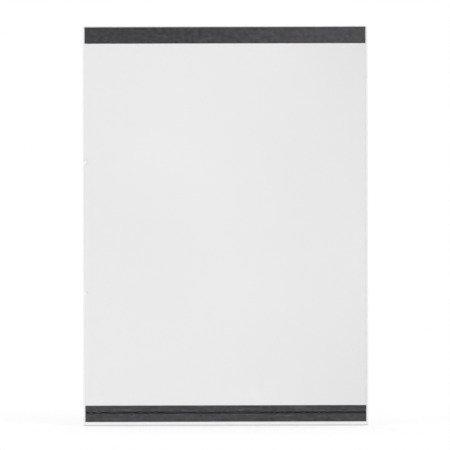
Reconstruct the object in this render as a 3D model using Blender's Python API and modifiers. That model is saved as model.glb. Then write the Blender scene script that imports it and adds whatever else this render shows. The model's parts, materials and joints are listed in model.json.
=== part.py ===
# Magnetic display frame: a clear two-film pocket for one A4 sheet, held to steel by strips on its back.
# Metres. The back faces -Y, +Z is up, and the origin is the middle of the top strip's outer face.
import math

import bmesh
import bpy
from mathutils import Vector

# The sheet that the pocket holds, and the room it has inside
INSERT_WIDTH = 0.210
INSERT_HEIGHT = 0.297
SIDE_ROOM = 0.0008
TOP_ROOM = 0.0005

# Clear films: the front one is larger, and its lip below the mouth is what a finger lifts
FRONT_FILM_THICKNESS = 0.0003
BACK_FILM_THICKNESS = 0.00025
POCKET_DEPTH = 0.0005
FRONT_OVERHANG = 0.001
FINGER_LIP = 0.003
CORNER_RADIUS = 0.0008

# Bonds between the films
TOP_BOND_HEIGHT = 0.0025
SIDE_BOND_WIDTH = 0.0012
GLUE_DOT_DIAMETER = 0.0016
GLUE_DOT_INSET = 0.0001
GLUE_DOT_BEVEL = 0.00008
LOWER_DOT_SHARE = 0.335
UPPER_DOT_SHARE = 0.662

# Magnet strips and the tape that sticks them down
STRIP_HEIGHT = 0.0125
STRIP_END_INSET = 0.0005
STRIP_TOP_INSET = 0.0007
MAGNET_THICKNESS = 0.0008
STRIP_EDGE_RADIUS = 0.00015
ADHESIVE_THICKNESS = 0.0001
ADHESIVE_INSET = 0.0002

# The score along the bottom strip, where the closing flap folds out
CREASE_ABOVE_MOUTH = 0.007
FLAP_SWING = math.radians(40)
FOLD_CLEARANCE = 0.00012
HINGE_TAPE_HEIGHT = 0.006
HINGE_TAPE_THICKNESS = 0.0001

# Bond line left open between layers, which are themselves only tenths of a millimetre thick
BOND_GAP = 0.00003

ARC_STEPS = 6
EDGE_STEPS = 3
DOT_SIDES = 24

# Widths, centred on x = 0
pocket_width = INSERT_WIDTH + 2 * SIDE_ROOM
back_width = pocket_width + 2 * SIDE_BOND_WIDTH
front_width = back_width + 2 * FRONT_OVERHANG
strip_length = back_width - 2 * STRIP_END_INSET
adhesive_length = strip_length - 2 * ADHESIVE_INSET

# Heights, from the top strip's centre line
top_strip_top = STRIP_HEIGHT / 2
frame_top = top_strip_top + STRIP_TOP_INSET
pocket_top = frame_top - TOP_BOND_HEIGHT
mouth = pocket_top - TOP_ROOM - INSERT_HEIGHT
frame_bottom = mouth - FINGER_LIP
crease = mouth + CREASE_ABOVE_MOUTH
bottom_strip_top = mouth + STRIP_HEIGHT

# Depths, from the strips' outer faces at y = 0 to the front of the window
adhesive_back = MAGNET_THICKNESS + BOND_GAP
back_film_back = adhesive_back + ADHESIVE_THICKNESS + BOND_GAP
hinge_depth = back_film_back + BACK_FILM_THICKNESS
front_film_back = hinge_depth + POCKET_DEPTH
bond_back = hinge_depth + BOND_GAP
bond_thickness = POCKET_DEPTH - 2 * BOND_GAP

# Turns that carry a curve's own plane to the sheet's plane (XZ), and to a strip's section (YZ)
SHEET_TURN = (math.pi / 2, 0, 0)
SECTION_TURN = (math.pi / 2, 0, math.pi / 2)


def clear_scene():
    for item in list(bpy.data.objects):
        bpy.data.objects.remove(item, do_unlink=True)


def collection(name):
    group = bpy.data.collections.new(name)
    bpy.context.scene.collection.children.link(group)
    return group


def empty(name, group, location):
    item = bpy.data.objects.new(name, None)
    item.empty_display_size = STRIP_HEIGHT
    item.location = location
    group.objects.link(item)
    return item


def finish(name, colour, roughness, transmission=0.0):
    made = bpy.data.materials.new(name)
    made.use_nodes = True
    shader = made.node_tree.nodes["Principled BSDF"]
    shader.inputs["Base Color"].default_value = (*colour, 1.0)
    shader.inputs["Roughness"].default_value = roughness
    shader.inputs["Metallic"].default_value = 0.0
    shader.inputs["Transmission Weight"].default_value = transmission
    return made


def clear_finish(name):
    return finish(name, colour=(0.93, 0.94, 0.94), roughness=0.1, transmission=1.0)


def magnet_finish(name):
    return finish(name, colour=(0.071, 0.069, 0.075), roughness=0.62)


def adhesive_finish(name):
    return finish(name, colour=(0.55, 0.54, 0.5), roughness=0.3, transmission=0.5)


def hinge_tape_finish(name):
    return finish(name, colour=(0.02, 0.02, 0.022), roughness=0.7)


def place(item, group, parent, location, turn, look):
    item.data.materials.append(look)
    group.objects.link(item)
    item.parent = parent
    item.location = Vector(location) - parent.location
    item.rotation_euler = turn


def arc(centre, radius, start, end, steps):
    # Points along a round corner, from one angle to another
    points = []
    for step in range(steps + 1):
        angle = start + (end - start) * step / steps
        points.append((centre[0] + radius * math.cos(angle), centre[1] + radius * math.sin(angle)))
    return points


def rounded_corner(before, corner, after, radius, steps):
    # The arc that touches both sides of any convex corner
    corner = Vector(corner)
    towards_before = (Vector(before) - corner).normalized()
    towards_after = (Vector(after) - corner).normalized()
    half_angle = towards_before.angle(towards_after) / 2
    middle = (towards_before + towards_after).normalized()
    centre = corner + middle * radius / math.sin(half_angle)
    along = radius / math.tan(half_angle)
    first = corner + towards_before * along - centre
    last = corner + towards_after * along - centre
    start = math.atan2(first.y, first.x)
    turn = first.angle_signed(last)
    return arc(centre, radius, start, start - turn, steps)


def rounded_outline(corners, radii, steps):
    points = []
    for index, corner in enumerate(corners):
        if radii[index] == 0:
            points.append(corner)
            continue
        before = corners[index - 1]
        after = corners[(index + 1) % len(corners)]
        points.extend(rounded_corner(before, corner, after, radii[index], steps))
    return points


def extruded(name, outline, depth):
    # A closed flat outline, filled and given its depth about its own plane
    curve = bpy.data.curves.new(name, "CURVE")
    curve.dimensions = "2D"
    curve.fill_mode = "BOTH"
    curve.extrude = depth / 2
    spline = curve.splines.new("POLY")
    spline.points.add(len(outline) - 1)
    for point, (u, v) in zip(spline.points, outline):
        point.co = (u, v, 0, 1)
    spline.use_cyclic_u = True
    return bpy.data.objects.new(name, curve)


def sheet(name, group, parent, left, right, bottom, top, back, thickness, radii, look):
    # A flat sheet in the XZ plane; radii run from its lower left corner anticlockwise
    middle = Vector(((left + right) / 2, back + thickness / 2, (bottom + top) / 2))
    half_width = (right - left) / 2
    half_height = (top - bottom) / 2
    corners = [
        (-half_width, -half_height),
        (half_width, -half_height),
        (half_width, half_height),
        (-half_width, half_height),
    ]
    item = extruded(name, rounded_outline(corners, radii, ARC_STEPS), thickness)
    place(item, group, parent, middle, SHEET_TURN, look)
    return item


def strip(name, group, parent, length, section, radius, look):
    # A bar along X; its section is given as (y, z) corners, each rounded by the same radius
    origin = parent.location
    corners = [(y - origin.y, z - origin.z) for y, z in section]
    item = extruded(name, rounded_outline(corners, [radius] * len(corners), EDGE_STEPS), length)
    place(item, group, parent, origin, SECTION_TURN, look)
    return item


def half_gap(y):
    # Half the score's width at a depth: its walls lean so that they come parallel and close at the flap's limit
    return (hinge_depth - y) * math.tan(FLAP_SWING / 2) + FOLD_CLEARANCE


def section_above_score(back, front, top):
    return [
        (back, crease + half_gap(back)),
        (front, crease + half_gap(front)),
        (front, top),
        (back, top),
    ]


def section_below_score(back, front, bottom):
    return [
        (back, bottom),
        (front, bottom),
        (front, crease - half_gap(front)),
        (back, crease - half_gap(back)),
    ]


def plain_section(back, front, bottom, top):
    return [(back, bottom), (front, bottom), (front, top), (back, top)]


def make_films(group, frame, flap):
    round_low = [CORNER_RADIUS, CORNER_RADIUS, 0, 0]
    round_high = [0, 0, CORNER_RADIUS, CORNER_RADIUS]
    score = half_gap(back_film_back)
    sheet(
        "front_film", group, frame, -front_width / 2, front_width / 2, frame_bottom, frame_top,
        front_film_back, FRONT_FILM_THICKNESS, [CORNER_RADIUS] * 4, clear_finish("front_film"),
    )
    sheet(
        "back_film", group, frame, -back_width / 2, back_width / 2, crease + score, frame_top,
        back_film_back, BACK_FILM_THICKNESS, round_high, clear_finish("back_film"),
    )
    sheet(
        "flap_film", group, flap, -back_width / 2, back_width / 2, mouth, crease - score,
        back_film_back, BACK_FILM_THICKNESS, round_low, clear_finish("flap_film"),
    )


def make_bonds(group, frame):
    square = [0, 0, 0, 0]
    sheet(
        "top_bond_tape", group, frame, -back_width / 2, back_width / 2, pocket_top, frame_top,
        bond_back, bond_thickness, square, clear_finish("top_bond_tape"),
    )
    sheet(
        "right_bond_tape", group, frame, pocket_width / 2, back_width / 2,
        crease + HINGE_TAPE_HEIGHT / 2 + BOND_GAP, pocket_top - BOND_GAP,
        bond_back, bond_thickness, square, clear_finish("right_bond_tape"),
    )
    # The left edge is only tacked, at about one and two thirds of the height
    x = -back_width / 2 + GLUE_DOT_INSET + GLUE_DOT_DIAMETER / 2
    y = bond_back + bond_thickness / 2
    frame_height = frame_top - frame_bottom
    dots = (("left_glue_dot_lower", LOWER_DOT_SHARE), ("left_glue_dot_upper", UPPER_DOT_SHARE))
    for name, share in dots:
        glue_dot(name, group, frame, (x, y, frame_bottom + share * frame_height))


def glue_dot(name, group, parent, centre):
    # A drop pressed flat between the films
    mesh = bpy.data.meshes.new(name)
    made = bmesh.new()
    bmesh.ops.create_cone(
        made, cap_ends=True, segments=DOT_SIDES, radius1=GLUE_DOT_DIAMETER / 2,
        radius2=GLUE_DOT_DIAMETER / 2, depth=bond_thickness,
    )
    made.to_mesh(mesh)
    made.free()
    mesh.shade_smooth()
    item = bpy.data.objects.new(name, mesh)
    bevel = item.modifiers.new("pressed edge", "BEVEL")
    bevel.width = GLUE_DOT_BEVEL
    bevel.segments = EDGE_STEPS
    place(item, group, parent, centre, SHEET_TURN, clear_finish(name))
    return item


def make_strips(group, frame, flap):
    magnet = (0, MAGNET_THICKNESS)
    tape = (adhesive_back, adhesive_back + ADHESIVE_THICKNESS)
    top_low = -top_strip_top
    magnets = (
        ("top_magnet_strip", frame, plain_section(*magnet, top_low, top_strip_top)),
        ("bottom_magnet_strip", frame, section_above_score(*magnet, bottom_strip_top)),
        ("flap_magnet_strip", flap, section_below_score(*magnet, mouth)),
    )
    for name, parent, section in magnets:
        strip(name, group, parent, strip_length, section, STRIP_EDGE_RADIUS, magnet_finish(name))
    inset = ADHESIVE_INSET
    adhesives = (
        ("top_strip_adhesive", frame, plain_section(*tape, top_low + inset, top_strip_top - inset)),
        ("bottom_strip_adhesive", frame, section_above_score(*tape, bottom_strip_top - inset)),
        ("flap_strip_adhesive", flap, section_below_score(*tape, mouth + inset)),
    )
    for name, parent, section in adhesives:
        strip(name, group, parent, adhesive_length, section, 0, adhesive_finish(name))


def make_hinge_tape(group, frame):
    # The tape inside the pocket that carries the flap, as long as the strips, so the score is dark to its ends
    back = hinge_depth + BOND_GAP
    half = HINGE_TAPE_HEIGHT / 2
    section = plain_section(back, back + HINGE_TAPE_THICKNESS, crease - half, crease + half)
    look = hinge_tape_finish("flap_hinge_tape")
    strip("flap_hinge_tape", group, frame, strip_length, section, 0, look)


def main():
    clear_scene()
    group = collection("magnetic_display_frame")
    frame = empty("frame_on_board", group, (0, 0, 0))
    flap = empty("flap_crease", group, (0, hinge_depth, crease))
    make_films(group, frame, flap)
    make_bonds(group, frame)
    make_strips(group, frame, flap)
    make_hinge_tape(group, frame)


main()
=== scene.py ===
# Looks of a clear magnetic display pocket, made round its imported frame. Metres, +Z up, the back faces -Y.
import json
import math

import bpy
import numpy as np
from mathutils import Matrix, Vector


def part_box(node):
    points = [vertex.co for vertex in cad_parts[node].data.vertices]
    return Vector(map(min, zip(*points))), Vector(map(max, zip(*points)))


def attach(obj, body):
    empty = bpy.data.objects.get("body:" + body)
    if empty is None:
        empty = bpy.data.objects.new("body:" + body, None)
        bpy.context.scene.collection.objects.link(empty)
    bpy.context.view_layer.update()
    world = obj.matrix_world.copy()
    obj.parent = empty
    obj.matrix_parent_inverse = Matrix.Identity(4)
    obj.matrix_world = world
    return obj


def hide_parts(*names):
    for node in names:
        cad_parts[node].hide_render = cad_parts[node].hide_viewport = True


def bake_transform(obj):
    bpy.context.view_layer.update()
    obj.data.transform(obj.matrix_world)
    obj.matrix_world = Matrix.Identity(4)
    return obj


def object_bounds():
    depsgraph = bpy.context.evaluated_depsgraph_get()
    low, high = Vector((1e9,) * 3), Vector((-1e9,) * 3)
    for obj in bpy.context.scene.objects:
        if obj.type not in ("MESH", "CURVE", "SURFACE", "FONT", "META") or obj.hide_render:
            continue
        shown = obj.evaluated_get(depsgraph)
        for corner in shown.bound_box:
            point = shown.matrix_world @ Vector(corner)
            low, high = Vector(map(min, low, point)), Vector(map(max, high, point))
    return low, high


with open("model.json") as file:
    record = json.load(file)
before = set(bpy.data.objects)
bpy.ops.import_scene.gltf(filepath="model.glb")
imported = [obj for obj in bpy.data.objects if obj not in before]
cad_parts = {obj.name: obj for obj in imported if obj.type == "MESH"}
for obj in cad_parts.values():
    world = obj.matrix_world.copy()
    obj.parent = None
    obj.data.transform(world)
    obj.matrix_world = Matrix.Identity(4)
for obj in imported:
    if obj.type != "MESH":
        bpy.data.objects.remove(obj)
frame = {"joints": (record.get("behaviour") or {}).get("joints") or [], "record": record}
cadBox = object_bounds()
record = frame["record"]
bodyOf = {node: body for body, nodes in record["behaviour"]["bodies"].items() for node in nodes}
crease = np.array(frame["joints"][0]["pos_m"])
swing = math.radians(frame["joints"][0]["range_deg"][1])


# Shapes

crispAngle = math.radians(50)  # faces that meet at more than this keep a sharp edge
longEdgePhases = (0.7, 3.9)  # where the waver of a strip's two long edges starts
waverShares = (0.5, 0.3, 0.2)  # level part, slow sine and quick sine


def boxOf(node):
    low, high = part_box(node)
    return np.array(low), np.array(high)


def unit(rows):
    return rows / np.linalg.norm(rows, axis=-1, keepdims=True)


def smoothStep(low, high, value):
    # Rises from 0 to 1 between two values and is level at both: 3t^2 - 2t^3
    t = np.clip((value - low) / (high - low), 0, 1)
    return t * t * (3 - 2 * t)


def sine(along, length, phase):
    # A wave that repeats after a length
    return np.sin(2 * math.pi * along / length + phase)


def waver(along, lengths, phases):
    # Wanders between 0 and 1: a level part and two sines of unlike length
    level, slow, quick = waverShares
    return level + slow * sine(along, lengths[0], phases[0]) + quick * sine(along, lengths[1], phases[1])


def enclosedVolume(points, faces):
    # A sixth of the sum, over fans of triangles, of each first corner dotted with the cross product of the
    # other two
    seen = points - points.mean(0)
    first = np.repeat(faces[:, :1], faces.shape[1] - 2, axis=1)
    corners = seen[np.stack([first, faces[:, 1:-1], faces[:, 2:]], axis=-1)].reshape(-1, 3, 3)
    return np.einsum("ij,ij->", corners[:, 0], np.cross(corners[:, 1], corners[:, 2])) / 6


def meshPiece(name, points, faceSets, looks, marks):
    # faceSets are (array of equal faces, number of the look); all are turned round together if they face
    # inwards. marks are values for each point, which the material reads as attributes.
    if sum(enclosedVolume(points, faces) for faces, number in faceSets) < 0:
        faceSets = [(faces[:, ::-1], number) for faces, number in faceSets]
    corners = np.concatenate([faces.ravel() for faces, number in faceSets]).astype(np.int32)
    sizes = np.concatenate([np.full(len(faces), faces.shape[1]) for faces, number in faceSets])
    starts = (np.cumsum(sizes) - sizes).astype(np.int32)
    numbers = np.concatenate([np.full(len(faces), number) for faces, number in faceSets]).astype(np.int32)
    mesh = bpy.data.meshes.new(name)
    mesh.vertices.add(len(points))
    mesh.vertices.foreach_set("co", points.astype(np.float32).ravel())
    mesh.loops.add(len(corners))
    mesh.loops.foreach_set("vertex_index", corners)
    mesh.polygons.add(len(sizes))
    mesh.polygons.foreach_set("loop_start", starts)
    mesh.polygons.foreach_set("material_index", numbers)
    mesh.update(calc_edges=True)
    mesh.validate()
    for key, values in marks.items():
        mark = mesh.attributes.new(key, "FLOAT", "POINT")
        mark.data.foreach_set("value", values.astype(np.float32).ravel())
    for look in looks:
        mesh.materials.append(look)
    mesh.shade_smooth()
    mesh.set_sharp_from_angle(angle=crispAngle)
    piece = bpy.data.objects.new(name, mesh)
    bpy.context.scene.collection.objects.link(piece)
    return piece


def settle(piece, node):
    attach(piece, bodyOf[node])
    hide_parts(node)


def ringFaces(rings):
    # Quads between each ring of points and the next, closed round
    after = np.roll(rings, -1, axis=1)
    return np.stack([rings[:-1], rings[1:], after[1:], after[:-1]], axis=-1).reshape(-1, 4)


def fanFaces(pole, ring):
    # Triangles between one point and a closed ring of points
    return np.stack([np.full(len(ring), pole), ring, np.roll(ring, -1)], axis=-1)


def sheetLines(half, shape, extra):
    # Grid lines from -half to half: close together near both edges, one step apart between them, and extra
    # ones as asked, less those too near the next line
    edge = np.linspace(0, shape["edgeZone"], shape["edgeLines"] + 1)
    inner = half - shape["edgeZone"]
    count = max(2, round(2 * inner / shape["step"]) + 1)
    extra = np.asarray(extra)[np.abs(extra) < inner]
    lines = np.sort(np.concatenate([edge - half, np.linspace(-inner, inner, count), half - edge, extra]))
    kept = np.append(np.diff(lines) > shape["leastStep"], True)
    return lines[kept]


def sheetSurface(low, high, shape, bend, extraWidths, extraHeights):
    # A sheet on a grid of x and z. In each corner's square the grid is drawn onto a quarter disc: in radii,
    # d becomes d * sqrt(1 - e^2 / 2) and e becomes e * sqrt(1 - d^2 / 2). Both faces are that grid, and the
    # rim swells between them as half an ellipse. bend(x, z) moves the whole thickness in y.
    middle = (low + high) / 2
    halfWide, halfThick, halfHigh = (high - low) / 2
    rim = shape["rimRound"]
    linesX = sheetLines(halfWide - rim, shape, np.asarray(extraWidths) - middle[0])
    linesZ = sheetLines(halfHigh - rim, shape, np.asarray(extraHeights) - middle[2])
    x, z = np.meshgrid(linesX, linesZ, indexing="ij")
    radius = np.where(z < 0, shape["lowRadius"], shape["highRadius"]) - rim
    coreX = np.clip(x, -halfWide + rim + radius, halfWide - rim - radius)
    coreZ = np.clip(z, -halfHigh + rim + radius, halfHigh - rim - radius)
    d = (x - coreX) / radius
    e = (z - coreZ) / radius
    x = coreX + radius * d * np.sqrt(1 - e * e / 2)
    z = coreZ + radius * e * np.sqrt(1 - d * d / 2)
    index = np.arange(x.size).reshape(x.shape)
    border = np.concatenate([index[:-1, 0], index[-1, :-1], index[:0:-1, -1], index[0, :0:-1]])
    flat = np.stack([x.ravel(), z.ravel()], axis=-1)
    outward = unit(np.stack([(x - coreX).ravel(), (z - coreZ).ravel()], axis=-1)[border])
    turn = np.linspace(-math.pi / 2, math.pi / 2, shape["rimSteps"] + 2)[1:-1, None]
    rimFlat = flat[border] + rim * np.cos(turn)[..., None] * outward
    rimDepth = np.broadcast_to(halfThick * np.sin(turn), rimFlat.shape[:2])
    plan = np.concatenate([flat, flat, rimFlat.reshape(-1, 2)]) + middle[[0, 2]]
    depth = np.concatenate([np.full(x.size, -halfThick), np.full(x.size, halfThick), rimDepth.ravel()])
    depth = middle[1] + depth + bend(plan[:, 0], plan[:, 1])
    points = np.stack([plan[:, 0], depth, plan[:, 1]], axis=-1)
    face = np.stack([index[:-1, :-1], index[1:, :-1], index[1:, 1:], index[:-1, 1:]], axis=-1).reshape(-1, 4)
    rings = 2 * x.size + np.arange(rimDepth.size).reshape(rimDepth.shape)
    rings = np.concatenate([border[None], rings, border[None] + x.size])
    return points, [(face, 0), (face[:, ::-1] + x.size, 0), (ringFaces(rings), 1)]


def roundedProfile(corners, shape):
    # Each corner becomes an arc that touches both its sides, with its centre on their bisector; the sides
    # between the arcs are divided evenly. Also gives the way out at each point.
    cornerRound = shape["edgeRound"]
    before = unit(np.roll(corners, 1, axis=0) - corners)
    after = unit(np.roll(corners, -1, axis=0) - corners)
    halfAngle = np.arccos((before * after).sum(1, keepdims=True)) / 2
    centre = corners + unit(before + after) * cornerRound / np.sin(halfAngle)
    start = corners + before * cornerRound / np.tan(halfAngle) - centre
    finish = corners + after * cornerRound / np.tan(halfAngle) - centre
    turn = math.pi - 2 * halfAngle[:, None]
    share = np.linspace(0, 1, shape["arcSteps"] + 1)[None, :, None]
    arcs = np.sin((1 - share) * turn) * start[:, None] + np.sin(share * turn) * finish[:, None]
    arcs = arcs / np.sin(turn)
    points = []
    ways = []
    for number in range(len(corners)):
        arc = centre[number] + arcs[number]
        following = (number + 1) % len(corners)
        run = centre[following] + arcs[following, 0] - arc[-1]
        parts = max(1, round(np.linalg.norm(run) / shape["sideStep"]))
        side = arc[-1] + run * np.linspace(0, 1, parts + 1)[1:-1, None]
        points += [arc, side]
        ways += [arcs[number] / cornerRound, np.broadcast_to(arcs[number, -1] / cornerRound, side.shape)]
    return np.concatenate(points), np.concatenate(ways)


def carriedStrip(profile, ways, low, high, shape, setBack=None):
    # A profile of (across, depth) carried straight from low to high. At both ends it draws in along a quarter
    # circle, and its two long edges waver inwards by two sines. setBack(along) moves points across by more. A
    # fan closes each end, and the two middle points come last. Columns: along, across, depth.
    turn = np.linspace(0, math.pi / 2, shape["endSteps"] + 1)
    endRound = shape["endRound"]
    count = max(2, round((high - low - 2 * endRound) / shape["step"]) + 1)
    inner = np.linspace(low + endRound, high - endRound, count)[1:-1]
    endAlong = endRound * (1 - np.cos(turn))
    endInset = endRound * (1 - np.sin(turn))
    along = np.concatenate([low + endAlong, inner, high - endAlong[::-1]])[:, None]
    inset = np.concatenate([endInset, np.zeros(len(inner)), endInset[::-1]])[:, None]
    phase = np.where(ways[:, 0] > 0, *longEdgePhases)
    wavering = shape["waver"] * waver(along, shape["waverLengths"], (phase, 2 * phase))
    across = profile[:, 0] - ways[:, 0] * (inset + wavering)
    if setBack:
        across = across + setBack(along)
    depth = profile[:, 1] - ways[:, 1] * inset
    points = np.stack([np.broadcast_to(along, across.shape), across, depth], axis=-1)
    poles = points[[0, -1]].mean(1)
    rings = np.arange(across.size).reshape(across.shape)
    ends = [(fanFaces(across.size, rings[0]), 0), (fanFaces(across.size + 1, rings[-1, ::-1]), 0)]
    return np.concatenate([points.reshape(-1, 3), poles]), [(ringFaces(rings), 0), *ends]


def dropSurface(low, high, shape, turn):
    # A drop pressed between two films: a profile turned about y, flat on both films and waisted between them,
    # with its outline pulled out of round by two cosines, an oval and a three-sided one.
    middle = (low + high) / 2
    halfThick = (high[1] - low[1]) / 2
    size = (high[0] - low[0]) / 2 / (1 + shape["uneven"])
    face = np.linspace(0, 1, shape["faceRings"] + 1)[1:]
    height = np.linspace(-1, 1, shape["sideRings"] + 2)[1:-1]
    side = 1 - shape["waist"] * np.cos(height * math.pi / 2)
    reach = np.concatenate([face, side, face[::-1]])[:, None]
    depth = np.concatenate([np.full(len(face), -1.0), height, np.full(len(face), 1.0)])[:, None]
    angle = np.linspace(0, 2 * math.pi, shape["sides"], endpoint=False)
    lobes = shape["oval"] * np.cos(2 * angle + turn) + shape["threeSided"] * np.cos(3 * angle)
    radius = size * reach * (1 + shape["uneven"] * lobes)
    x = middle[0] + radius * np.cos(angle)
    y = np.broadcast_to(middle[1] + halfThick * depth, radius.shape)
    z = middle[2] + radius * np.sin(angle)
    poles = middle + np.array([[0, -halfThick, 0], [0, halfThick, 0]])
    points = np.concatenate([np.stack([x, y, z], axis=-1).reshape(-1, 3), poles])
    index = np.arange(radius.size).reshape(radius.shape)
    ends = [(fanFaces(radius.size, index[0]), 0), (fanFaces(radius.size + 1, index[-1, ::-1]), 0)]
    # The rim's painted shade rises towards the drop's outline
    rim = np.broadcast_to(smoothStep(shape["rimFrom"], 1.0, reach), radius.shape)
    return points, [(ringFaces(index), 0), *ends], np.append(rim.ravel(), [0, 0])


# Finishes

# In their settings a range is (value from, value to, result from, result to), a bump (strength, distance)
unstretched = (1, 1, 1)


def newLook(name):
    material = bpy.data.materials.new(name)
    material.use_nodes = True
    tree = material.node_tree
    tree.nodes.clear()
    output = tree.nodes.new("ShaderNodeOutputMaterial")
    shader = tree.nodes.new("ShaderNodeBsdfPrincipled")
    tree.links.new(shader.outputs["BSDF"], output.inputs["Surface"])
    return material, tree, shader


def feed(tree, target, inputs):
    for key, value in inputs.items():
        if isinstance(value, bpy.types.NodeSocket):
            tree.links.new(value, target.inputs[key])
        else:
            target.inputs[key].default_value = value


def addNode(tree, kind, inputs, **properties):
    made = tree.nodes.new("ShaderNode" + kind)
    for key, value in properties.items():
        setattr(made, key, value)
    feed(tree, made, inputs)
    return made


def placed(tree, stretch, shift):
    # Object coordinates, stretched, and shifted so that no two pieces share a pattern
    coordinates = addNode(tree, "TexCoord", {})
    inputs = {"Vector": coordinates.outputs["Object"], "Location": shift, "Scale": stretch}
    return addNode(tree, "Mapping", inputs).outputs["Vector"]


def noise(tree, vector, scale, detail):
    return addNode(tree, "TexNoise", {"Vector": vector, "Scale": scale, "Detail": detail}).outputs["Fac"]


def ranged(tree, value, fromLow, fromHigh, low, high, interpolation="LINEAR"):
    inputs = {"Value": value, "From Min": fromLow, "From Max": fromHigh, "To Min": low, "To Max": high}
    return addNode(tree, "MapRange", inputs, interpolation_type=interpolation).outputs["Result"]


def combined(tree, operation, first, second):
    return addNode(tree, "Math", {0: first, 1: second}, operation=operation).outputs[0]


def mixed(tree, share, first, second):
    return addNode(tree, "Mix", {0: share, 6: first, 7: second}, data_type="RGBA").outputs[2]


def attribute(tree, name):
    return addNode(tree, "Attribute", {}, attribute_name=name).outputs["Fac"]


def bumped(tree, height, strength, distance):
    inputs = {"Height": height, "Strength": strength, "Distance": distance}
    return addNode(tree, "Bump", inputs).outputs["Normal"]


filmLook = {
    "clearTint": (0.915, 0.915, 0.915, 1),
    "smokyTint": (0.895, 0.895, 0.895, 1),
    # The corner, edge and dot tints are painted shade; the wet tint is a painted highlight that also stands
    # for wetted film
    "paintedCornerShadeTint": (0.87, 0.87, 0.87, 1),
    "paintedEdgeShadeTint": (0.45, 0.45, 0.45, 1),
    "paintedDotShadeTint": (0.77, 0.77, 0.77, 1),
    "wetAndGlintTint": (1.0, 1.0, 1.0, 1),
    "driftScale": 7.0,
    "drift": (0.3, 0.7, 0.0, 1.0),
    "grainScale": 2400.0,
    "drawLines": (520.0, 1.0, 5.0),
    "lineShare": 0.6,
    "roughness": (0.5, 1.1, 0.05, 0.11),
    "index": 1.5,
    "bump": (0.25, 0.000004),
}


def clearFilm(name, shift):
    # Clear film: a slow smoky drift in its tint, painted shade to the right corners and along its cut edges,
    # painted shade round each glue dot and painted highlights near it, which also stand for where glue wets
    # the film, with a fine matt grain and faint lines along the way it was drawn
    material, tree, shader = newLook(name)
    even = placed(tree, unstretched, shift)
    drift = ranged(tree, noise(tree, even, filmLook["driftScale"], detail=1.0), *filmLook["drift"])
    tint = mixed(tree, drift, filmLook["clearTint"], filmLook["smokyTint"])
    tint = mixed(tree, attribute(tree, "paintedCornerShade"), tint, filmLook["paintedCornerShadeTint"])
    tint = mixed(tree, attribute(tree, "edgeShade"), tint, filmLook["paintedEdgeShadeTint"])
    tint = mixed(tree, attribute(tree, "dotShade"), tint, filmLook["paintedDotShadeTint"])
    tint = mixed(tree, attribute(tree, "wetSpotAndPaintedGlint"), tint, filmLook["wetAndGlintTint"])
    grain = noise(tree, even, filmLook["grainScale"], detail=3.0)
    lines = noise(tree, placed(tree, filmLook["drawLines"], shift), 1.0, detail=2.0)
    surface = combined(tree, "ADD", grain, combined(tree, "MULTIPLY", lines, filmLook["lineShare"]))
    feed(tree, shader, {
        "Base Color": tint,
        "Roughness": ranged(tree, surface, *filmLook["roughness"]),
        "IOR": filmLook["index"],
        "Transmission Weight": 1.0,
        "Normal": bumped(tree, surface, *filmLook["bump"]),
    })
    return material


cutLook = {
    "pale": (0.79, 0.79, 0.79, 1),
    "dull": (0.56, 0.56, 0.56, 1),
    "scale": 1500.0,
    "shift": (3.1, 0.4, 1.7),
    "dullness": (0.35, 0.65, 0.0, 1.0),
    "roughness": (0.3, 0.7, 0.32, 0.55),
    "clearness": 0.6,
    "bump": (0.4, 0.00002),
}


def cutEdge(name):
    # The film's cut edge: frosted by the blade, with short pale and dull runs
    material, tree, shader = newLook(name)
    runs = noise(tree, placed(tree, unstretched, cutLook["shift"]), cutLook["scale"], detail=2.0)
    dullness = ranged(tree, runs, *cutLook["dullness"])
    feed(tree, shader, {
        "Base Color": mixed(tree, dullness, cutLook["pale"], cutLook["dull"]),
        "Roughness": ranged(tree, runs, *cutLook["roughness"]),
        "Transmission Weight": cutLook["clearness"],
        "Normal": bumped(tree, runs, *cutLook["bump"]),
    })
    return material


bondLook = {
    "clearTint": (0.985, 0.986, 0.983, 1),
    "hazyTint": (0.93, 0.934, 0.927, 1),
    # rim tint: painted shade on a drop's rim
    "paintedRimShadeTint": (0.90, 0.91, 0.91, 1),
    "hazeScale": 420.0,
    "haze": (0.4, 0.75, 0.0, 0.8),
    "bubbleScale": 900.0,
    "bubbles": (0.10, 0.16, 1.0, 0.0),
    "roughness": (0.0, 1.0, 0.08, 0.3),
    "index": 1.47,
    "bump": (0.2, 0.00001),
}


def clearBond(name, shift):
    # Clear tape and glue: a little haze, tiny round bubbles, and painted shade on the rim where the glue
    # curves
    material, tree, shader = newLook(name)
    even = placed(tree, unstretched, shift)
    haze = noise(tree, even, bondLook["hazeScale"], detail=2.0)
    cells = addNode(tree, "TexVoronoi", {"Vector": even, "Scale": bondLook["bubbleScale"]})
    bubbles = ranged(tree, cells.outputs["Distance"], *bondLook["bubbles"])
    cloud = combined(tree, "MAXIMUM", ranged(tree, haze, *bondLook["haze"]), bubbles)
    tint = mixed(tree, cloud, bondLook["clearTint"], bondLook["hazyTint"])
    feed(tree, shader, {
        "Base Color": mixed(tree, attribute(tree, "rimShade"), tint, bondLook["paintedRimShadeTint"]),
        "Roughness": ranged(tree, cloud, *bondLook["roughness"]),
        "IOR": bondLook["index"],
        "Transmission Weight": 1.0,
        "Normal": bumped(tree, cloud, *bondLook["bump"]),
    })
    return material


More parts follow.
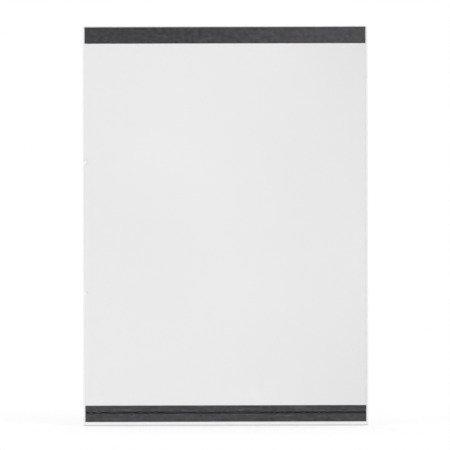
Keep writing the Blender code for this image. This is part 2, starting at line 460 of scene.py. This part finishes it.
rubberLook = {
    "deep": (0.0310, 0.0300, 0.0346, 1),
    "lightTone": (0.0680, 0.0660, 0.0738, 1),
    "rosy": (0.0550, 0.0465, 0.0530, 1),
    "dark": (0.018, 0.0175, 0.020, 1),
    "pale": (0.105, 0.103, 0.110, 1),
    "worn": (0.090, 0.089, 0.093, 1),
    # cut: one dark colour for the fresh cut and the painted shade in the score
    "cut": (0.0084, 0.0061, 0.0104, 1),
    "mottleScale": 290.0,
    "mottle": (0.2, 0.8, -0.62, 0.62),
    "rosyScale": 48.0,
    "rosyPatches": (0.52, 0.72, 0.0, 0.8),
    "speckScale": 1150.0,
    "darkSpecks": (0.36, 0.22, 0.0, 0.9),
    "paleSpecks": (0.64, 0.80, 0.0, 0.9),
    "drawLines": (60.0, 1.0, 720.0),
    "paleLines": (0.55, 0.75),
    "darkLines": (0.45, 0.25),
    "wear": (0.4, 0.65, 0.05, 0.6),
    "grainScale": 3600.0,
    "grainShare": 0.5,
    "roughness": (0.6, 1.4, 0.5, 0.72),
    "gloss": 0.22,
    "bump": (0.35, 0.00003),
}


def magnetRubber(name, strip):
    # Magnet rubber: a mottled grey that grows lighter or darker along its length, rosy in places, with dark
    # and pale ferrite specks, streaks along the way it was extruded, paler worn corners, one dark colour at
    # the score for its fresh cut and painted shade in the score, and pale burrs there
    material, tree, shader = newLook(name)
    even = placed(tree, unstretched, strip["shift"])
    along = addNode(tree, "SeparateXYZ", {0: placed(tree, unstretched, (0, 0, 0))}).outputs["X"]
    fade = ranged(tree, along, *strip["fade"], "SMOOTHSTEP")
    mottle = noise(tree, even, rubberLook["mottleScale"], detail=4.0)
    speck = noise(tree, even, rubberLook["speckScale"], detail=2.0)
    grain = noise(tree, even, rubberLook["grainScale"], detail=1.0)
    lines = noise(tree, placed(tree, rubberLook["drawLines"], strip["shift"]), 1.0, detail=2.0)
    rosy = ranged(tree, noise(tree, even, rubberLook["rosyScale"], detail=2.0), *rubberLook["rosyPatches"])
    level = combined(tree, "ADD", fade, ranged(tree, mottle, *rubberLook["mottle"]))
    tint = mixed(tree, level, rubberLook["deep"], rubberLook["lightTone"])
    tint = mixed(tree, rosy, tint, rubberLook["rosy"])
    tint = mixed(tree, ranged(tree, speck, *rubberLook["darkSpecks"]), tint, rubberLook["dark"])
    tint = mixed(tree, ranged(tree, speck, *rubberLook["paleSpecks"]), tint, rubberLook["pale"])
    for streaks, colour in (("paleLines", "pale"), ("darkLines", "dark")):
        share = ranged(tree, lines, *rubberLook[streaks], 0.0, strip["streak"])
        tint = mixed(tree, share, tint, rubberLook[colour])
    tint = mixed(tree, attribute(tree, "burr"), tint, rubberLook["pale"])
    wear = combined(tree, "MULTIPLY", attribute(tree, "edgeWear"), ranged(tree, speck, *rubberLook["wear"]))
    tint = mixed(tree, wear, tint, rubberLook["worn"])
    height = combined(tree, "ADD", combined(tree, "MULTIPLY", grain, rubberLook["grainShare"]), lines)
    feed(tree, shader, {
        "Base Color": mixed(tree, attribute(tree, "cutAndPaintedScoreShade"), tint, rubberLook["cut"]),
        "Roughness": ranged(tree, combined(tree, "ADD", speck, lines), *rubberLook["roughness"]),
        "Specular IOR Level": rubberLook["gloss"],
        "Normal": bumped(tree, height, *rubberLook["bump"]),
    })
    return material


adhesiveLook = {
    "wetted": (0.62, 0.61, 0.58, 1),
    "silvery": (0.80, 0.80, 0.78, 1),
    "patchScale": 240.0,
    "patchStretch": (0.35, 1, 1),
    "rollLines": (2.0, 1.0, 420.0),
    "lineShare": 0.3,
    "air": (0.72, 0.84, 0.0, 1.0),
    "roughness": (0.0, 1.0, 0.12, 0.45),
    "clearness": (0.0, 1.0, 0.97, 0.72),
    "index": 1.47,
    "bump": (0.3, 0.00002),
}


def stripAdhesive(name, shift):
    # Acrylic tape seen through the film: clear where it has wetted out, silvery where air is trapped, with
    # streaks from the roller that pressed it down
    material, tree, shader = newLook(name)
    patchPlace = placed(tree, adhesiveLook["patchStretch"], shift)
    patches = noise(tree, patchPlace, adhesiveLook["patchScale"], detail=3.0)
    lines = noise(tree, placed(tree, adhesiveLook["rollLines"], shift), 1.0, detail=1.0)
    trapped = combined(tree, "ADD", patches, combined(tree, "MULTIPLY", lines, adhesiveLook["lineShare"]))
    air = ranged(tree, trapped, *adhesiveLook["air"])
    feed(tree, shader, {
        "Base Color": mixed(tree, air, adhesiveLook["wetted"], adhesiveLook["silvery"]),
        "Roughness": ranged(tree, air, *adhesiveLook["roughness"]),
        "IOR": adhesiveLook["index"],
        "Transmission Weight": ranged(tree, air, *adhesiveLook["clearness"]),
        "Normal": bumped(tree, patches, *adhesiveLook["bump"]),
    })
    return material


hingeLook = {
    "black": (0.0100, 0.0075, 0.0120, 1),
    "dusty": (0.027, 0.0245, 0.029, 1),
    "shift": (0.6, 2.0, 1.1),
    "dustScale": 700.0,
    "dust": (0.5, 0.8, 0.0, 0.7),
    "ribs": {"Scale": 5200.0, "Distortion": 1.5, "Detail": 1.0},
    "roughness": (0.3, 0.7, 0.55, 0.78),
    "gloss": 0.12,
    "bump": (0.25, 0.00001),
}


def hingeFilm(name):
    # Black tape: fine ribs along its length, a little dust, matt
    material, tree, shader = newLook(name)
    even = placed(tree, unstretched, hingeLook["shift"])
    dust = noise(tree, even, hingeLook["dustScale"], detail=3.0)
    ribs = addNode(tree, "TexWave", {"Vector": even, **hingeLook["ribs"]}, bands_direction="Z").outputs["Fac"]
    dusted = ranged(tree, dust, *hingeLook["dust"])
    feed(tree, shader, {
        "Base Color": mixed(tree, dusted, hingeLook["black"], hingeLook["dusty"]),
        "Roughness": ranged(tree, dust, *hingeLook["roughness"]),
        "Specular IOR Level": hingeLook["gloss"],
        "Normal": bumped(tree, combined(tree, "ADD", ribs, dust), *hingeLook["bump"]),
    })
    return material


# Films

# A dot and its dimple act as a lens: painted highlights a short way from the dot's centre, which also stand
# for where glue wets the films, and painted shade round them
drops = {
    "glueDotUpper": {
        "node": "left_glue_dot_upper",
        "turn": 0.8,
        "shift": (0.8, 0.4, 1.3),
        "glints": [(0.0005, -0.0002), (-0.0008, -0.0011)],
        "shadows": [(0.0010, 0.0010), (0.0009, -0.00155), (0.0016, -0.0012)],
    },
    "glueDotLower": {
        "node": "left_glue_dot_lower",
        "turn": 2.4,
        "shift": (2.4, 0.4, 1.3),
        "glints": [(-0.00045, -0.0006)],
        "shadows": [(0.00135, -0.0005)],
    },
}
dotMark = {
    "glintSize": 0.00085,
    "shadowSize": 0.00055,
    "gridReach": 0.0024,
    "gridLines": 25,
    "dimple": 0.00005,
    "dimpleFrom": 0.0009,
    "dimpleTo": 0.0028,
    "dimpleFade": 0.012,
}
dotCentres = []
glints = []
shadows = []
for drop in drops.values():
    dotCentre = (sum(boxOf(drop["node"])) / 2)[[0, 2]]
    dotCentres.append(dotCentre)
    glints.extend(dotCentre + drop["glints"])
    shadows.extend(dotCentre + drop["shadows"])
spread = np.linspace(-dotMark["gridReach"], dotMark["gridReach"], dotMark["gridLines"])
dotWidths = dotCentres[0][0] + spread
dotHeights = np.concatenate([dotCentre[1] + spread for dotCentre in dotCentres])

sheetShape = {
    "step": 0.003,
    "leastStep": 0.00003,
    "edgeZone": 0.0016,
    "edgeLines": 8,
    "rimRound": 0.00006,
    "rimSteps": 5,
    "lowRadius": 0.0008,
    "highRadius": 0.0008,
}
sharpCorner = 0.00012  # radius of the films' corners at the score
paintedCornerShadeShares = {"level": 0.25, "ends": 0.75}
waves = {
    "mainLean": 0.45,
    "mainShare": 0.6,
    "crossLean": -0.6,
    "crossShare": 0.4,
    "crossLength": 0.5,
    "crossPhase": 2.3,
}


def slowWave(x, z, long, phase):
    # Two sines that run across each other, the second of half the length of the first, added in shares
    main = sine(waves["mainLean"] * x + z, long, phase)
    cross = sine(x + waves["crossLean"] * z, waves["crossLength"] * long, waves["crossPhase"] * phase)
    return waves["mainShare"] * main + waves["crossShare"] * cross


def sideShade(points, low, high, sides):
    # Painted shade along the edges: the darkest of four bands, each fading inwards from its own edge:
    # (strength, width) for each side
    gaps = {
        "left": points[:, 0] - low[0],
        "right": high[0] - points[:, 0],
        "bottom": points[:, 2] - low[2],
        "top": high[2] - points[:, 2],
    }
    bands = [strength * (1 - smoothStep(0, width, gaps[side])) for side, (strength, width) in sides.items()]
    return np.max(bands, axis=0)


def paintedCornerShade(points):
    # Painted shade towards the right corners: grows with the square of a smooth rise from the middle to the
    # right edge, and with the square of the way up or down from the middle
    right = smoothStep(0.0, 1.0, points[:, 0] / cadBox[1][0]) ** 2
    end = (2 * (points[:, 2] - cadBox[0][2]) / (cadBox[1][2] - cadBox[0][2]) - 1) ** 2
    return right * (paintedCornerShadeShares["level"] + paintedCornerShadeShares["ends"] * end)


def nearest(x, z, places):
    # The way from each point to the nearest of some places
    plan = np.stack([x, z], axis=-1)
    return np.min([np.linalg.norm(plan - place, axis=-1) for place in places], axis=0)


def filmShades(points, low, high, sides):
    # Painted highlights and painted shade at the glue dots are round and fade: exp(-(distance / size)^2). The
    # edge bands and right corners are painted shade.
    x, z = points[:, 0], points[:, 2]
    return {
        "edgeShade": sideShade(points, low, high, sides),
        "paintedCornerShade": paintedCornerShade(points),
        "wetSpotAndPaintedGlint": np.exp(-((nearest(x, z, glints) / dotMark["glintSize"]) ** 2)),
        "dotShade": np.exp(-((nearest(x, z, shadows) / dotMark["shadowSize"]) ** 2)),
    }


def dimples(x, z):
    # Level on each glue dot, a smooth rise round it, and a slow fall back to nothing
    away = nearest(x, z, dotCentres)
    rise = smoothStep(dotMark["dimpleFrom"], dotMark["dimpleTo"], away)
    return dotMark["dimple"] * rise * (1 - smoothStep(dotMark["dimpleTo"], dotMark["dimpleFade"], away))


frostedCut = cutEdge("film cut edge")


def filmPiece(name, node, sheet, shape, bend, widths=(), heights=()):
    # A film: its own look on both faces of its sheet, and the frosted cut on its rim
    low, high = boxOf(node)
    points, faces = sheetSurface(low, high, shape, bend, widths, heights)
    looks = [clearFilm(sheet["look"], sheet["shift"]), frostedCut]
    settle(meshPiece(name, points, faces, looks, filmShades(points, low, high, sheet["edges"])), node)
    print(sheet["look"] + ":", len(points), "points")


topStripFoot = boxOf("top_magnet_strip")[0][2]
bottomStripHead = boxOf("bottom_magnet_strip")[1][2]

frontSheet = {
    "look": "front film",
    "shift": (0.2, 0.1, 0.4),
    "heldReach": 0.05,
    "waveHeight": 0.00008,
    "waveLength": 0.11,
    "wavePhase": 0.9,
    "belly": 0.00012,
    "tackReach": 0.035,
    "lipCurl": 0.00025,
    "lipReach": 0.009,
    # edges: painted shade along each side, as (strength, width)
    "edges": {
        "left": (0.04, 0.0006), "right": (0.12, 0.0008), "top": (0.07, 0.0005), "bottom": (1.0, 0.0010),
    },
}
frontLow, frontHigh = boxOf("front_film")


def frontBend(x, z):
    # Held by the bonds and tacked at the glue dots, it bellies a little in the open field, waves slowly, and
    # its lip turns out
    reach = frontSheet["heldReach"]
    held = smoothStep(0, reach, topStripFoot - z) * smoothStep(0, reach, frontHigh[0] - x)
    tacked = smoothStep(0, frontSheet["tackReach"], nearest(x, z, dotCentres))
    waved = frontSheet["waveHeight"] * slowWave(x, z, frontSheet["waveLength"], frontSheet["wavePhase"])
    lip = frontSheet["lipCurl"] * (1 - smoothStep(0, frontSheet["lipReach"], z - frontLow[2]))
    return held * tacked * (waved + frontSheet["belly"]) + dimples(x, z) + lip


filmPiece("frontFilm", "front_film", frontSheet, sheetShape, frontBend, dotWidths, dotHeights)

backSheet = {
    "look": "back film",
    "shift": (1.7, 0.3, 2.9),
    "heldReach": 0.03,
    "waveHeight": 0.00007,
    "waveLength": 0.13,
    "wavePhase": 2.2,
    "edges": {
        "left": (0.07, 0.0006), "right": (0.05, 0.0006), "top": (0.07, 0.0004), "bottom": (0.14, 0.0004),
    },
}
backShape = {**sheetShape, "lowRadius": sharpCorner}
backLow, backHigh = boxOf("back_film")


def backBend(x, z):
    # Flat under both strips and along both sides but for the dimples, it waves slowly in the open field
    reach = backSheet["heldReach"]
    held = smoothStep(0, reach, topStripFoot - z) * smoothStep(0, reach, z - bottomStripHead)
    held = held * smoothStep(0, reach, x - backLow[0]) * smoothStep(0, reach, backHigh[0] - x)
    waved = backSheet["waveHeight"] * slowWave(x, z, backSheet["waveLength"], backSheet["wavePhase"])
    return held * waved - dimples(x, z)


filmPiece("backFilm", "back_film", backSheet, backShape, backBend, dotWidths, dotHeights)

flapSheet = {
    "look": "flap film",
    "shift": (4.1, 0.2, 0.8),
    "edges": {
        "left": (0.07, 0.0006), "right": (0.12, 0.0008), "top": (0.14, 0.0004), "bottom": (0.24, 0.0006),
    },
}
flapShape = {**sheetShape, "highRadius": sharpCorner, "step": 0.002}


def flapBend(x, z):
    # The flap's strip keeps it flat
    return np.zeros_like(x)


filmPiece("flapFilm", "flap_film", flapSheet, flapShape, flapBend)


# Bonds between the films

alongX = [0, 2, 1]  # columns of a carried strip, as x, y, z
alongZ = [1, 2, 0]

tapeShape = {
    "edgeRound": 0.00004,
    "arcSteps": 2,
    "sideStep": 0.0004,
    "step": 0.002,
    "endRound": 0.00004,
    "endSteps": 2,
    "waver": 0.00012,
    "waverLengths": (0.043, 0.01591),
}


def boxCorners(low, high, across):
    # The four corners of a plain section, as (across, depth)
    a, b = low[across], high[across]
    return np.array([[a, low[1]], [b, low[1]], [b, high[1]], [a, high[1]]])


def tapePiece(name, low, high, look, shape, columns):
    # A band of tape: its rounded section carried along x or z
    along, across = columns.index(0), columns.index(1)
    profile, ways = roundedProfile(boxCorners(low, high, across), shape)
    points, faces = carriedStrip(profile, ways, low[along], high[along], shape)
    return meshPiece(name, points[:, columns], faces, [look], {"rimShade": np.zeros(len(points))})


bondTapes = {
    "topBondTape": {
        "node": "top_bond_tape", "columns": alongX, "look": "top bond tape", "shift": (0.9, 0.5, 0.3),
    },
    "rightBondTape": {
        "node": "right_bond_tape", "columns": alongZ, "look": "right bond tape", "shift": (2.3, 0.7, 1.9),
    },
}
for name, tape in bondTapes.items():
    look = clearBond(tape["look"], tape["shift"])
    settle(tapePiece(name, *boxOf(tape["node"]), look, tapeShape, tape["columns"]), tape["node"])

dropShape = {
    "uneven": 0.14,
    "oval": 0.6,
    "threeSided": 0.4,
    "waist": 0.16,
    "rimFrom": 0.6,
    "sides": 56,
    "faceRings": 8,
    "sideRings": 7,
}
for name, drop in drops.items():
    points, faces, rim = dropSurface(*boxOf(drop["node"]), dropShape, drop["turn"])
    look = clearBond(name, drop["shift"])
    settle(meshPiece(name, points, faces, [look], {"rimShade": rim}), drop["node"])
print("bonds:", len(bondTapes), "tapes and", len(drops), "drops")


# Magnet strips

magnetShape = {
    "edgeRound": 0.00015,
    "arcSteps": 4,
    "sideStep": 0.0002,
    "step": 0.0015,
    "endRound": 0.00012,
    "endSteps": 3,
    "waver": 0.00003,
    "waverLengths": (0.027, 0.00999),
    "ridgePitch": 0.00115,
    "ridgeDepth": 0.000012,
    "ridgeFrom": 0.0003,
    "ridgeTo": 0.0008,
    "wearReach": 0.00022,
}
scoreShape = {
    "foldRoom": 0.00012,
    "step": 0.0007,
    "wander": 0.00011,
    "wanderLengths": (0.0137, 0.0051),
    "wanderPhase": 3,
    "nickDepth": 0.00045,
    "nickLengths": (0.0213, 0.0087),
    "raggedReach": 0.0014,
    "calmFrom": 0.01,
    "calmTo": 0.05,
    "calmShare": 0.45,
    "wallFacing": (0.2, 0.9),
    # cut and nick shade: painted shade beside the score's wall and at its nicks
    "cutShadeReach": 0.0003,
    "cutShadeStrength": 0.75,
    "nickShadeReach": 0.0006,
    "nickShadeStrength": 0.9,
    "burrPlace": 0.0010,
    "burrSize": 0.0007,
    "burrLengths": (0.0171, 0.0066),
    "burrPhase": 1.9,
    "burrStrength": 1.4,
}
peakForm = {"secondPhase": 2.7, "power": 3}


def leaningCorners(node, side):
    # A section beside the score: its wall leans by half the swing, so that both walls come parallel and close
    # when the flap is open
    low, high = boxOf(node)
    depths = np.array([low[1], high[1]])
    edges = crease[2] + side * ((crease[1] - depths) * math.tan(swing / 2) + scoreShape["foldRoom"])
    far = high[2] if side > 0 else low[2]
    return np.array([[edges[0], depths[0]], [far, depths[0]], [far, depths[1]], [edges[1], depths[1]]])


def peaks(along, lengths, phase):
    # Near 1 where two sines of unlike length peak together, and 0 over most of the rest: the cube of their
    # product where it is above 0
    both = sine(along, lengths[0], phase) * sine(along, lengths[1], peakForm["secondPhase"] * phase)
    return np.clip(both, 0, 1) ** peakForm["power"]


def roughCut(along):
    # The cut runs rough on the left and calmer on the right: 1, then a smooth fall to a share
    calm = smoothStep(scoreShape["calmFrom"], scoreShape["calmTo"], along)
    return 1 - (1 - scoreShape["calmShare"]) * calm


def raggedWall(along, toScore, phase):
    # How far the score's wall stands back: it wanders by two sines and has nicks, less with the way from the
    # score
    wanderPhase = scoreShape["wanderPhase"] * phase
    wander = scoreShape["wander"] * waver(along, scoreShape["wanderLengths"], (wanderPhase, wanderPhase))
    nicks = scoreShape["nickDepth"] * peaks(along, scoreShape["nickLengths"], phase)
    near = 1 - smoothStep(0, scoreShape["raggedReach"], toScore)
    return (wander + nicks * roughCut(along)) * near


def scoreMarks(along, toScore, wall, phase):
    # Cut and painted shade: the wall, a thin line beside it and dark marks at the nicks, which fade with
    # exp(-way / reach), are painted dark for the fresh cut and the shade in the score. Burrs: pale flecks a
    # short way from the wall.
    nicked = roughCut(along) * peaks(along, scoreShape["nickLengths"], phase)
    nicked = nicked * np.exp(-toScore / scoreShape["nickShadeReach"])
    line = scoreShape["cutShadeStrength"] * np.exp(-toScore / scoreShape["cutShadeReach"])
    nickShade = np.maximum(line, scoreShape["nickShadeStrength"] * nicked)
    burrs = peaks(along, scoreShape["burrLengths"], phase + scoreShape["burrPhase"])
    burrs = np.minimum(1, scoreShape["burrStrength"] * burrs * roughCut(along))
    fleck = np.exp(-(((toScore - scoreShape["burrPlace"]) / scoreShape["burrSize"]) ** 2))
    return {"cutAndPaintedScoreShade": np.maximum(wall, nickShade), "burr": burrs * fleck}


def magnetPiece(name, strip):
    # A magnet strip: its rounded section, with shallow ridges left by the extruder on both faces, carried
    # along x. The ridges follow a cosine of the way across and fade at the corners.
    low, high = boxOf(strip["node"])
    side, phase = strip["side"], strip["shift"][0]
    corners = leaningCorners(strip["node"], side) if side else boxCorners(low, high, 2)
    profile, ways = roundedProfile(corners, magnetShape)
    toCorner = np.linalg.norm(profile[:, None] - corners, axis=-1).min(1)
    toScore = np.abs(profile[:, 0] - corners[0, 0])
    ridge = 0.5 - 0.5 * np.cos(2 * math.pi * profile[:, 0] / magnetShape["ridgePitch"])
    fade = smoothStep(magnetShape["ridgeFrom"], magnetShape["ridgeTo"], toCorner)
    sink = magnetShape["ridgeDepth"] * ridge * fade
    ridged = profile - ways * [0, 1] * sink[:, None]

    def setBack(along):
        return side * raggedWall(along, toScore, phase)

    shape = {**magnetShape, "step": scoreShape["step"]} if side else magnetShape
    points, faces = carriedStrip(ridged, ways, low[0], high[0], shape, setBack if side else None)
    points = points[:, alongX]
    along = points[:, 0]

    def perPoint(values):
        # Values of the profile repeated along the strip; the middles of both ends take their mean
        return np.append(np.tile(values, len(points) // len(profile)), [values.mean()] * 2)

    toEnd = np.minimum(along - low[0], high[0] - along)
    wear = np.exp(-np.minimum(perPoint(toCorner), toEnd) / magnetShape["wearReach"])
    wall = perPoint(smoothStep(*scoreShape["wallFacing"], -side * ways[:, 0]))
    scored = perPoint(toScore) if side else np.full(len(points), np.inf)
    marks = {"edgeWear": wear, **scoreMarks(along, scored, wall, phase)}
    settle(meshPiece(name, points, faces, [magnetRubber(name, strip)], marks), strip["node"])


# side is 1 above the score, -1 below it and 0 where there is none; fade is a range of tone along x
magnets = {
    "topMagnetStrip": {
        "node": "top_magnet_strip", "side": 0, "shift": (0.31, 0.2, 0.7),
        "fade": (-0.06, 0.08, 0.23, 0.75), "streak": 0.25,
    },
    "bottomMagnetStrip": {
        "node": "bottom_magnet_strip", "side": 1, "shift": (1.9, 0.6, 2.2),
        "fade": (-0.07, 0.03, 0.57, 0.47), "streak": 0.7,
    },
    "flapMagnetStrip": {
        "node": "flap_magnet_strip", "side": -1, "shift": (3.4, 0.1, 1.2),
        "fade": (-0.02, 0.04, 0.71, 0.58), "streak": 0.6,
    },
}
for name, strip in magnets.items():
    magnetPiece(name, strip)
print("magnet strips:", len(magnets))


# Adhesive under the strips

adhesiveShape = {
    **tapeShape,
    "edgeRound": 0.00003,
    "endRound": 0.00003,
    "waver": 0.0002,
    "waverLengths": (0.031, 0.01147),
    "scoreInset": 0.0008,
}
adhesives = {
    "topStripAdhesive": {"node": "top_strip_adhesive", "side": 0, "shift": (0.4, 0.3, 0.9)},
    "bottomStripAdhesive": {"node": "bottom_strip_adhesive", "side": 1, "shift": (2.6, 0.8, 1.4)},
    "flapStripAdhesive": {"node": "flap_strip_adhesive", "side": -1, "shift": (5.2, 0.5, 3.3)},
}
for name, band in adhesives.items():
    low, high = boxOf(band["node"])
    # The nicks in the score must not bare the adhesive
    low[2] += adhesiveShape["scoreInset"] * max(0, band["side"])
    high[2] -= adhesiveShape["scoreInset"] * max(0, -band["side"])
    look = stripAdhesive(name, band["shift"])
    settle(tapePiece(name, low, high, look, adhesiveShape, alongX), band["node"])
print("adhesive bands:", len(adhesives))


# Hinge tape behind the score

hingeShape = {
    **tapeShape,
    "edgeRound": 0.00003,
    "endRound": 0.00003,
    "sideStep": 0.0001,
    "step": 0.003,
    "waver": 0.0001,
    "bendHalf": 0.0004,  # half the height over which the tape turns
}
hingeTape = tapePiece("flapHingeTape", *boxOf("flap_hinge_tape"), hingeFilm("hinge tape"), hingeShape, alongX)
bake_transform(hingeTape)
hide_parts("flap_hinge_tape")


# Floor, light and camera

boxMiddle = (np.array(cadBox[0]) + np.array(cadBox[1])) / 2
white = (1, 1, 1, 1)
stage = {
    "floorRadius": 0.9,
    "floorHole": 0.002,
    "floorRings": 40,
    "floorSides": 96,
    "floorDrop": 0.0002,
    "floorColour": (0.95, 0.95, 0.95, 1),
    "floorRoughness": 0.85,
    "floorGloss": 0.1,
    "floorGrain": 300.0,
    "floorBump": (0.05, 0.0002),
    "fadeTo": 0.4,
    "leastWhite": 0.72,
    "worldFill": 0.55,
}


def whiteSeen(tree):
    # 1 for rays that show the surroundings themselves: from the camera, in gloss, or through clear film
    path = addNode(tree, "LightPath", {})
    seen = combined(tree, "MAXIMUM", path.outputs["Is Camera Ray"], path.outputs["Is Glossy Ray"])
    return combined(tree, "MAXIMUM", seen, path.outputs["Is Transmission Ray"])


def paleFloor():
    # Pale and matt, fading into the white surroundings with the way from the pocket's foot
    material, tree, shader = newLook("pale floor")
    even = placed(tree, unstretched, (0, 0, 0))
    grain = noise(tree, even, stage["floorGrain"], detail=2.0)
    feed(tree, shader, {
        "Base Color": stage["floorColour"],
        "Roughness": stage["floorRoughness"],
        "Specular IOR Level": stage["floorGloss"],
        "Normal": bumped(tree, grain, *stage["floorBump"]),
    })
    apart = addNode(tree, "SeparateXYZ", {0: even})
    beside = combined(tree, "SUBTRACT", combined(tree, "ABSOLUTE", apart.outputs["X"], 0.0), cadBox[1][0])
    plan = {"X": combined(tree, "MAXIMUM", beside, 0.0), "Y": apart.outputs["Y"]}
    away = addNode(tree, "VectorMath", {0: addNode(tree, "CombineXYZ", plan).outputs[0]}, operation="LENGTH")
    fade = ranged(tree, away.outputs["Value"], 0.0, stage["fadeTo"], stage["leastWhite"], 1.0, "SMOOTHSTEP")
    glow = addNode(tree, "Emission", {"Color": white, "Strength": 1.0}).outputs[0]
    share = combined(tree, "MULTIPLY", fade, whiteSeen(tree))
    mix = addNode(tree, "MixShader", {0: share, 1: shader.outputs["BSDF"], 2: glow})
    output = next(item for item in tree.nodes if item.type == "OUTPUT_MATERIAL")
    tree.links.new(mix.outputs[0], output.inputs["Surface"])
    return material


def makeFloor():
    # A flat disc of polar rings
    radius = np.linspace(stage["floorHole"], stage["floorRadius"], stage["floorRings"])[:, None]
    angle = np.linspace(0, 2 * math.pi, stage["floorSides"], endpoint=False)
    x = boxMiddle[0] + radius * np.cos(angle)
    y = boxMiddle[1] + radius * np.sin(angle)
    z = np.full(x.shape, cadBox[0][2] - stage["floorDrop"])
    points = np.stack([x, y, z], axis=-1).reshape(-1, 3)
    index = np.arange(x.size).reshape(x.shape)
    floor = meshPiece("floor", points, [(ringFaces(index), 0), (index[:1], 0)], [paleFloor()], {})


def makeWorld():
    # Plain white where it is seen, and a weaker white where it only lights
    world = bpy.data.worlds.new("white studio")
    bpy.context.scene.world = world
    world.use_nodes = True
    tree = world.node_tree
    tree.nodes.clear()
    fill = addNode(tree, "Background", {"Color": white, "Strength": stage["worldFill"]})
    plain = addNode(tree, "Background", {"Color": white, "Strength": 1.0})
    surround = addNode(tree, "MixShader", {0: whiteSeen(tree), 1: fill.outputs[0], 2: plain.outputs[0]})
    addNode(tree, "OutputWorld", {"Surface": surround.outputs[0]})


lamps = {
    "keyLamp": {"place": (1.0, -1.5, 1.0), "size": 1.4, "watts": 14.0},
    "fillLamp": {"place": (-1.5, -1.3, 0.4), "size": 1.5, "watts": 6.0},
    "topLamp": {"place": (-0.1, 0.05, 1.6), "size": 1.8, "watts": 16.0},
}


def makeLamp(name, lamp):
    # A square lamp turned to the pocket's middle
    light = bpy.data.lights.new(name, "AREA")
    light.shape = "SQUARE"
    light.size = lamp["size"]
    light.energy = lamp["watts"]
    lampObject = bpy.data.objects.new(name, light)
    lampObject.location = lamp["place"]
    aim = Vector(boxMiddle) - Vector(lamp["place"])
    lampObject.rotation_euler = aim.to_track_quat("-Z", "Y").to_euler()
    lampObject.visible_camera = False
    bpy.context.scene.collection.objects.link(lampObject)


# A long lens, square on to the back; pixels are of the photograph's 450 x 450 frame
photo = {
    "pixels": 450,
    "metresPerPixel": 0.000758,
    "centre": (225.4, 225.9),
    "roll": 0.14,
    "distance": 3.0,
    "sensor": 36.0,
}


def makeCamera():
    half = photo["pixels"] / 2
    camera = bpy.data.objects.new("camera", bpy.data.cameras.new("camera"))
    camera.data.sensor_width = photo["sensor"]
    camera.data.lens = photo["sensor"] / 2 / (half * photo["metresPerPixel"] / photo["distance"])
    camera.location = (
        boxMiddle[0] - (photo["centre"][0] - half) * photo["metresPerPixel"],
        -photo["distance"],
        boxMiddle[2] + (photo["centre"][1] - half) * photo["metresPerPixel"],
    )
    camera.rotation_euler = (math.pi / 2, math.radians(photo["roll"]), 0)
    bpy.context.scene.collection.objects.link(camera)
    bpy.context.scene.camera = camera
    bpy.context.scene.view_settings.view_transform = "Standard"


makeFloor()
makeWorld()
for name, lamp in lamps.items():
    makeLamp(name, lamp)
makeCamera()
print("stage: floor, world, camera and", len(lamps), "lamps")
